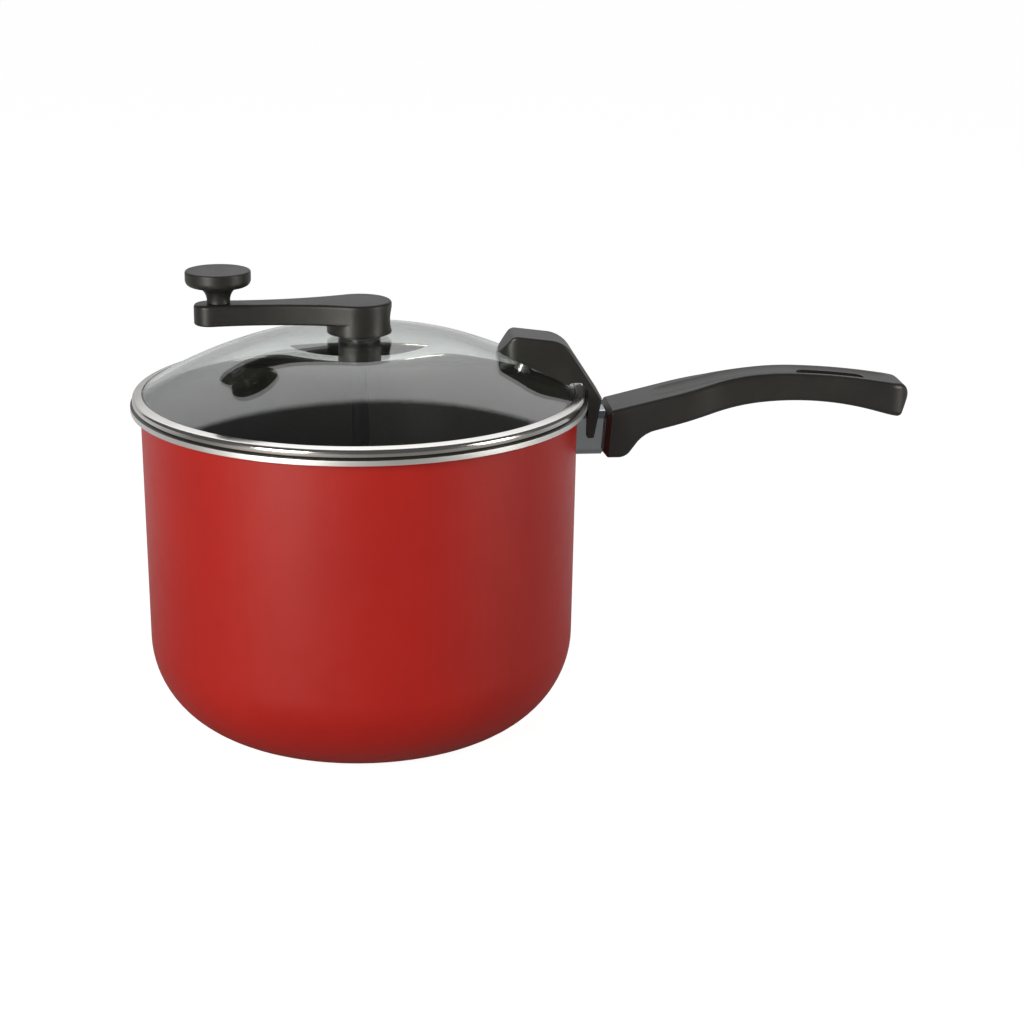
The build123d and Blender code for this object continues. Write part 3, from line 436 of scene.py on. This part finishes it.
# =============================================================================================
# Handle grip
# Moulded bakelite: a deep collar over the guard, an arched neck with a thumb hollow, and a
# hanging slot. The mould leaves a fine satin skin, and hands rub the top of the arch smoother.
# =============================================================================================
bakelite, tree, shader = start_finish("handle_bakelite")
mottle = grain(tree, place(tree), 60.0, 5.0, 0.6)
black = tones(tree, mottle, (0.3, (0.0195, 0.0193, 0.0183)), (0.7, (0.0255, 0.0253, 0.0240)))
tree.links.new(black, shader.inputs["Base Color"])
fine = grain(tree, place(tree), 2600.0, 3.0)
height = add_node(tree, "ShaderNodeSeparateXYZ", Vector=place(tree)).outputs["Z"]
rubbed = span(tree, height, 0.0, -0.05, 0.152, 0.168)
satin = calc(tree, "ADD", span(tree, mottle, 0.36, 0.44), rubbed)
tree.links.new(satin, shader.inputs["Roughness"])
relief(tree, shader, (fine, 0.000008), (grain(tree, place(tree), 350.0, 2.0), 0.000012))
dress(bakelite, "handle_grip")

# =============================================================================================
# Lid glass
# Tempered glass pressed to a flat crown, a soft shoulder and a long flank, with a ground edge, a
# hole for the hub and one for the clip's screw. It lets lamps through to the pot, as glass does.
# =============================================================================================
glass_thickness = 0.0035
glass_hole = 0.0064
glass_edge = Vector((0.1016, 0.1614))
glass_edge_round = 0.0015
crown_edge = 0.035           # radius where the crown ends
shoulder_bend = 0.090
crown_tilt = radians(3.2)
shoulder_tilt = radians(19.7)
edge_tilt = radians(30.7)
screw_hole = 0.0025
screw_hole_reach = 0.078     # from the axis
screw_hole_turns = 48
glass_turns = 360
bend_steps = 40              # rings along the flank, and along the shoulder
crown_steps = 8
edge_steps = 8
crisp = radians(35)          # a sharper fold than this keeps its edge

clear_glass, tree, shader = start_finish("tempered_glass")
shader.inputs["Base Color"].default_value = (0.885, 0.915, 0.90, 1)
shader.inputs["Transmission Weight"].default_value = 1.0
shader.inputs["IOR"].default_value = 1.5
haze = grain(tree, place(tree), 35.0, 4.0, 0.6)
tree.links.new(span(tree, haze, 0.0, 0.02, 0.45, 0.8), shader.inputs["Roughness"])
path = tree.nodes.new("ShaderNodeLightPath")
through = tree.nodes.new("ShaderNodeBsdfTransparent")
through.inputs["Color"].default_value = (0.92, 0.94, 0.93, 1)
lamps = calc(tree, "MAXIMUM", path.outputs["Is Shadow Ray"], path.outputs["Is Diffuse Ray"])
either = tree.nodes.new("ShaderNodeMixShader")
tree.links.new(lamps, either.inputs["Fac"])
tree.links.new(shader.outputs["BSDF"], either.inputs[1])
tree.links.new(through.outputs["BSDF"], either.inputs[2])
tree.links.new(either.outputs["Shader"], tree.nodes["Material Output"].inputs["Surface"])

crown_bend = crown_edge / sin(crown_tilt)
shoulder_edge = crown_edge + shoulder_bend * (sin(shoulder_tilt) - sin(crown_tilt))
flank_bend = (glass_edge.x - shoulder_edge) / (sin(edge_tilt) - sin(shoulder_tilt))
outwards = Vector((cos(edge_tilt), -sin(edge_tilt)))
under = Vector((-sin(edge_tilt), -cos(edge_tilt)))
upper_face = [glass_edge]
lower_face = []
for bend, inner, outer, steps in (
    (flank_bend, shoulder_tilt, edge_tilt, bend_steps),
    (shoulder_bend, crown_tilt, shoulder_tilt, bend_steps),
    (crown_bend, asin(glass_hole / crown_bend), crown_tilt, crown_steps),
):
    start = upper_face[-1]
    for step in range(1, steps + 1):
        tilt = outer + (inner - outer) * step / steps
        spot = start + Vector((bend * (sin(tilt) - sin(outer)), bend * (cos(tilt) - cos(outer))))
        upper_face.append(spot)
        lower_face.append(spot - Vector((sin(tilt), cos(tilt))) * glass_thickness)
round_middle = glass_edge + under * (glass_thickness - glass_edge_round) - outwards * glass_edge_round
ground_edge = []
for step in range(edge_steps + 1):
    lean = radians(90) * step / edge_steps
    ground_edge.append(round_middle + (outwards * cos(lean) + under * sin(lean)) * glass_edge_round)
lower_face = [spot for spot in lower_face if (spot - round_middle).dot(outwards) < 0]
glass_outline = upper_face[::-1] + ground_edge + lower_face + upper_face[-1:]
glass = lathe("pressed_glass", [(glass_outline, clear_glass)], glass_turns)

hole_tilt = asin(sin(shoulder_tilt) + (screw_hole_reach - shoulder_edge) / flank_bend)
hole_height = glass_edge.y + flank_bend * (cos(hole_tilt) - cos(edge_tilt))
drill_mesh = bpy.data.meshes.new("drill")
shape = bmesh.new()
bmesh.ops.create_cone(
    shape,
    cap_ends=True,
    segments=screw_hole_turns,
    radius1=screw_hole,
    radius2=screw_hole,
    depth=glass_thickness * 4,
    matrix=Matrix.Translation((screw_hole_reach, 0, hole_height)) @ Matrix.Rotation(hole_tilt, 4, "Y"),
)
shape.to_mesh(drill_mesh)
shape.free()
drill = bpy.data.objects.new("drill", drill_mesh)
scene.collection.objects.link(drill)
cut = glass.modifiers.new("screw_hole", "BOOLEAN")
cut.operation = "DIFFERENCE"
cut.object = drill
drilled = bpy.data.meshes.new_from_object(glass.evaluated_get(bpy.context.evaluated_depsgraph_get()))
glass.modifiers.clear()
glass.data = drilled
glass.data.set_sharp_from_angle(angle=crisp)
bpy.data.objects.remove(drill)
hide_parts("lid_glass")
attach(glass, "lid")

# =============================================================================================
# Lid band
# A strip of stainless steel rolled over the glass's edge, polished. Its bead hangs over the slope
# of the pot's rim, and a skirt under it centres the lid in the mouth.
# =============================================================================================
skirt_inside = 0.0987
skirt_outside = 0.0993
skirt_bottom = 0.1535
band_bottom = 0.1588
bead_radius = 0.1055
bead_bottom = 0.15782
bead_top = 0.1611
lip_radius = 0.1010
lip_top = 0.162155
lip_round = 0.0002
skirt_bend = 0.0015
bead_low_round = 0.0004
bead_top_round = 0.0018
groove_gap = 0.00005
groove_round = 0.0015
crease = 0.00002             # an edge that's all but sharp
band_turns = 512
band_fine = radians(6)       # turn between two points of a rounded corner

band_steel = rolled_steel("band_steel", (0.66, 0.65, 0.62), (0.75, 0.74, 0.72), 0.10)
groove_top = glass_edge + (outwards - under) * groove_gap
groove_low = groove_top + under * (glass_thickness + 2 * groove_gap)
band_outline = rounded(
    [
        (skirt_inside, skirt_bottom),
        (skirt_outside, skirt_bottom),
        (skirt_outside, band_bottom),
        (mouth_radius + rim_crown_width, band_bottom),
        (bead_radius, bead_bottom),
        (bead_radius, bead_top),
        (lip_radius, lip_top),
        groove_top - outwards * (groove_top.x - lip_radius) / cos(edge_tilt),
        groove_top,
        groove_low,
        groove_low - outwards * (groove_low.x - skirt_inside) / cos(edge_tilt),
        (skirt_inside, skirt_bottom),
    ],
    [
        lip_round,
        skirt_bend,
        rim_slope_round,
        bead_low_round,
        bead_top_round,
        lip_round,
        crease,
        crease,
        groove_round,
        crease,
    ],
    band_fine,
)
band = lathe("rolled_band", [(band_outline, band_steel)], band_turns)
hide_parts("lid_band")
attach(band, "lid")

# =============================================================================================
# Lid hub
# A black nylon bush through the glass, its nut below, and a silicone gasket on each side. The
# crank's shaft turns in it.
# =============================================================================================
nylon, tree, shader = start_finish("hub_nylon")
mottle = grain(tree, place(tree), 120.0, 4.0)
black = tones(tree, mottle, (0.3, (0.0110, 0.0110, 0.0106)), (0.7, (0.0155, 0.0155, 0.0149)))
tree.links.new(black, shader.inputs["Base Color"])
tree.links.new(span(tree, mottle, 0.34, 0.42), shader.inputs["Roughness"])
shader.inputs["Specular IOR Level"].default_value = 0.35
relief(tree, shader, (grain(tree, lathe_marks(tree, fine=4000.0), 1.0), 0.000010))
dress(nylon, "hub_bush", "hub_nut")

silicone, tree, shader = start_finish("silicone")
dust = grain(tree, place(tree), 700.0, 4.0)
grey = tones(tree, dust, (0.3, (0.040, 0.040, 0.040)), (0.7, (0.060, 0.060, 0.058)))
tree.links.new(grey, shader.inputs["Base Color"])
tree.links.new(span(tree, dust, 0.50, 0.62), shader.inputs["Roughness"])
relief(tree, shader, (dust, 0.000010))
dress(silicone, "hub_gasket_top", "hub_gasket_bottom", "clip_pad")

# =============================================================================================
# Lid clip
# A moulded bakelite hook that hugs the band and hangs over the flame guard, so that the lid can't
# turn with the crank. A screw from under the glass holds it, with a washer and a silicone pad.
# =============================================================================================
dress(bakelite, "lid_clip")
dress(zinc_steel, "clip_washer", "clip_screw")

# =============================================================================================
# Crank arm and shaft
# The arm is moulded bakelite with a round boss over the hub. A grub screw locks it on the shaft,
# a steel rod with a dark coating; a washer and a spring clip under the hub keep the shaft up.
# =============================================================================================
arm_bakelite, tree, shader = start_finish("crank_bakelite")
mottle = grain(tree, place(tree), 75.0, 5.0, 0.6)
black = tones(tree, mottle, (0.3, (0.0135, 0.0134, 0.0128)), (0.7, (0.0185, 0.0184, 0.0176)))
tree.links.new(black, shader.inputs["Base Color"])
tree.links.new(span(tree, mottle, 0.36, 0.45), shader.inputs["Roughness"])
relief(
    tree,
    shader,
    (grain(tree, place(tree), 2400.0, 3.0), 0.000008),
    (grain(tree, place(tree), 300.0, 2.0), 0.000012),
)
dress(arm_bakelite, "crank_arm", "knob")
dress(zinc_steel, "arm_grub", "shaft_washer", "shaft_clip")

dark_coating, tree, shader = start_finish("shaft_coating")
drawn = grain(tree, place(tree, (1, 1, 0.05)), 1800.0, 3.0)
black = tones(tree, drawn, (0.3, (0.0025, 0.0025, 0.0025)), (0.7, (0.005, 0.005, 0.0045)))
tree.links.new(black, shader.inputs["Base Color"])
tree.links.new(span(tree, drawn, 0.42, 0.52), shader.inputs["Roughness"])
shader.inputs["Specular IOR Level"].default_value = 0.12
relief(tree, shader, (drawn, 0.000008))
dress(dark_coating, "crank_shaft")

# =============================================================================================
# Stirrer
# A turned steel hub on the shaft's end, held by a grub screw, carries two bent wires that follow
# the pot's floor and corner to keep the corn moving.
# =============================================================================================
dress(zinc_steel, "stirrer_hub", "stirrer_grub", "stirrer_wire_left", "stirrer_wire_right")

# =============================================================================================
# Knob
# Moulded bakelite with a narrow neck and a shallow dish on top. It spins on a shoulder screw that
# is driven up through the arm.
# =============================================================================================
dress(zinc_steel, "knob_screw", "knob_washer")

# =============================================================================================
# Floor, light and camera
# A grey floor that looks white to the camera, so white that it hides the shadow, and two tall soft
# lamps left and right of the camera. Behind the object the room is white and brighter upwards,
# which the glass shows; the rest is dark.
# =============================================================================================
floor_reach = 8.0            # from the middle to each side
floor_glow = 0.92
sheet_low = 0.5              # the room's light behind the object, low down and high up
sheet_high = 1.65
ramp_top = 2.0               # brightest value that the sheet's colour ramp holds
lamp_aim = (0, 0, 0.10)

floor_mesh = bpy.data.meshes.new("floor")
corners = [
    (-floor_reach, -floor_reach, 0),
    (floor_reach, -floor_reach, 0),
    (floor_reach, floor_reach, 0),
    (-floor_reach, floor_reach, 0),
]
floor_mesh.from_pydata(corners, [], [(0, 1, 2, 3)])
floor = bpy.data.objects.new("floor", floor_mesh)
scene.collection.objects.link(floor)

floor_finish, tree, shader = start_finish("floor_paper")
shader.inputs["Base Color"].default_value = (0.35, 0.35, 0.35, 1)
shader.inputs["Roughness"].default_value = 0.9
shader.inputs["Specular IOR Level"].default_value = 0.0
path = tree.nodes.new("ShaderNodeLightPath")
seen = calc(tree, "MAXIMUM", path.outputs["Is Camera Ray"], path.outputs["Is Transmission Ray"])
depth = add_node(tree, "ShaderNodeSeparateXYZ", Vector=place(tree)).outputs["Y"]
far_back = span(tree, depth, 0.0, 0.5, -0.05, 0.35)
mirrored = calc(tree, "MULTIPLY", path.outputs["Is Glossy Ray"], far_back)
white = calc(tree, "MAXIMUM", seen, mirrored)
glow = add_node(tree, "ShaderNodeEmission", Strength=calc(tree, "MULTIPLY", white, floor_glow))
both = tree.nodes.new("ShaderNodeAddShader")
tree.links.new(shader.outputs["BSDF"], both.inputs[0])
tree.links.new(glow.outputs["Emission"], both.inputs[1])
tree.links.new(both.outputs["Shader"], tree.nodes["Material Output"].inputs["Surface"])
floor_mesh.materials.append(floor_finish)

world = bpy.data.worlds.new("studio")
scene.world = world
world.use_nodes = True
tree = world.node_tree
backdrop = tree.nodes["Background"]
way = add_node(tree, "ShaderNodeTexCoord").outputs["Generated"]
axes = add_node(tree, "ShaderNodeSeparateXYZ", Vector=way)
bow = calc(tree, "MULTIPLY", calc(tree, "MULTIPLY", axes.outputs["X"], axes.outputs["X"]), -0.6)
behind = span(tree, calc(tree, "ADD", axes.outputs["Y"], bow), 0.0, 1.0, 0.475, 0.495)
path = tree.nodes.new("ShaderNodeLightPath")
sheet = span(tree, axes.outputs["Z"], sheet_low, sheet_high, 0.20, 0.80)
sheet = calc(tree, "MULTIPLY", sheet, span(tree, path.outputs["Is Diffuse Ray"], 1.0, 0.5, 0.0, 1.0))
on_ramp = calc(tree, "DIVIDE", sheet, ramp_top)
sheet_light = tones(tree, on_ramp, (0.0, (0.0, 0.0, 0.0)), (1.0, (ramp_top, ramp_top, ramp_top)))
room = blend_colour(tree, behind, (0.10, 0.10, 0.105), sheet_light)
seen = blend_colour(tree, path.outputs["Is Camera Ray"], room, (1.0, 1.0, 1.0))
tree.links.new(seen, backdrop.inputs["Color"])
backdrop.inputs["Strength"].default_value = 1.0


def soft_lamp(name, spot, aim, width, height, power):
    """A softbox at spot, turned to aim."""
    lamp = bpy.data.lights.new(name, "AREA")
    lamp.color = (1.0, 0.96, 0.88)
    lamp.shape = "RECTANGLE"
    lamp.size = width
    lamp.size_y = height
    lamp.energy = power
    holder = bpy.data.objects.new(name, lamp)
    scene.collection.objects.link(holder)
    holder.location = spot
    holder.rotation_euler = (Vector(aim) - Vector(spot)).to_track_quat("-Z", "Y").to_euler()
    holder.visible_camera = False


soft_lamp("lamp_left", (-0.71, -0.87, 0.36), lamp_aim, width=0.45, height=0.70, power=11.5)
soft_lamp("lamp_right", (0.99, -0.46, 0.36), lamp_aim, width=0.40, height=0.70, power=5.5)

scene.view_settings.view_transform = "Standard"

camera_spot = Vector((-0.03528, -1.06336, 0.43373))
pitch = radians(17.358)
turn = radians(5.762)
roll = radians(0.57)
ahead = Vector((sin(turn) * cos(pitch), cos(turn) * cos(pitch), -sin(pitch)))
level = Vector((cos(turn), -sin(turn), 0))
upright = level.cross(ahead)
side = level * cos(roll) + upright * sin(roll)
top = upright * cos(roll) - level * sin(roll)
lens = bpy.data.cameras.new("camera")
lens.sensor_width = 36.0
lens.lens = 82.28
camera = bpy.data.objects.new("camera", lens)
scene.collection.objects.link(camera)
turned = Matrix((side, top, -ahead)).transposed().to_4x4()
camera.matrix_world = Matrix.Translation(camera_spot) @ turned
scene.camera = camera
